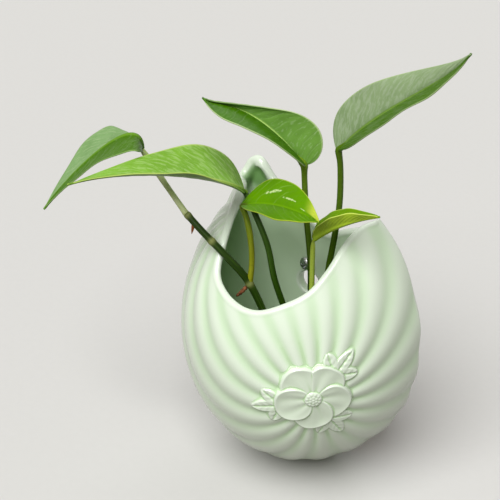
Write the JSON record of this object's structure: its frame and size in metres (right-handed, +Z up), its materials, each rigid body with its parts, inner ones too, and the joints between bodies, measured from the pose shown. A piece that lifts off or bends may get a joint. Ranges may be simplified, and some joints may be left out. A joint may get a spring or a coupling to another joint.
{
  "type": "hanging planter",
  "caption": "Wall-hung ceramic half-shell planter with curved ribs, a relief flower and a keyhole back, hung on a screw and plug, holding leafy vine cuttings that lift out.",
  "frame": {"origin": "where the hanging screw's axis meets the wall", "axes": "+Z up along the wall, +Y into the wall, +X to the right as seen from the room"},
  "size_m": [0.2021, 0.1247, 0.2398],
  "materials": {
    "celadon_glaze": "glossy translucent glaze, thinner on the ribs",
    "screw_steel": "bright plated steel",
    "plug_nylon": "moulded nylon",
    "leaf": "waxy, marbled with paler green and cream",
    "stem": "smooth green stalk",
    "root": "dry reddish brown"
  },
  "bodies": {
    "wall_fixing": {"wall_plug": "plug_nylon"},
    "hanging_screw": {"wall_screw": "screw_steel"},
    "planter": {"planter_shell": "celadon_glaze"},
    "cuttings": {"vine_stem": "stem", "petiole_far_left": "stem", "petiole_left": "stem", "petiole_centre": "stem", "petiole_top_middle": "stem", "petiole_small_right": "stem", "petiole_top_right": "stem", "aerial_root": "root", "leaf_far_left": "leaf", "leaf_left": "leaf", "leaf_top_middle": "leaf", "leaf_top_right": "leaf", "leaf_centre": "leaf", "leaf_small_right": "leaf"}
  },
  "joints": [
    {"name": "planter_swing", "type": "hinge", "parent": "wall_fixing", "child": "hanging_screw", "pos_m": [0, 0, 0], "axis": [0, 1, 0], "range_deg": [-25, 25]},
    {"name": "planter_lift", "type": "slide", "parent": "hanging_screw", "child": "planter", "axis": [0, 0, 1], "range_m": [0, 0.0115]},
    {"name": "cuttings_lift", "type": "slide", "parent": "planter", "child": "cuttings", "axis": [0, 0, 1], "range_m": [0, 0.14]}
  ]
}
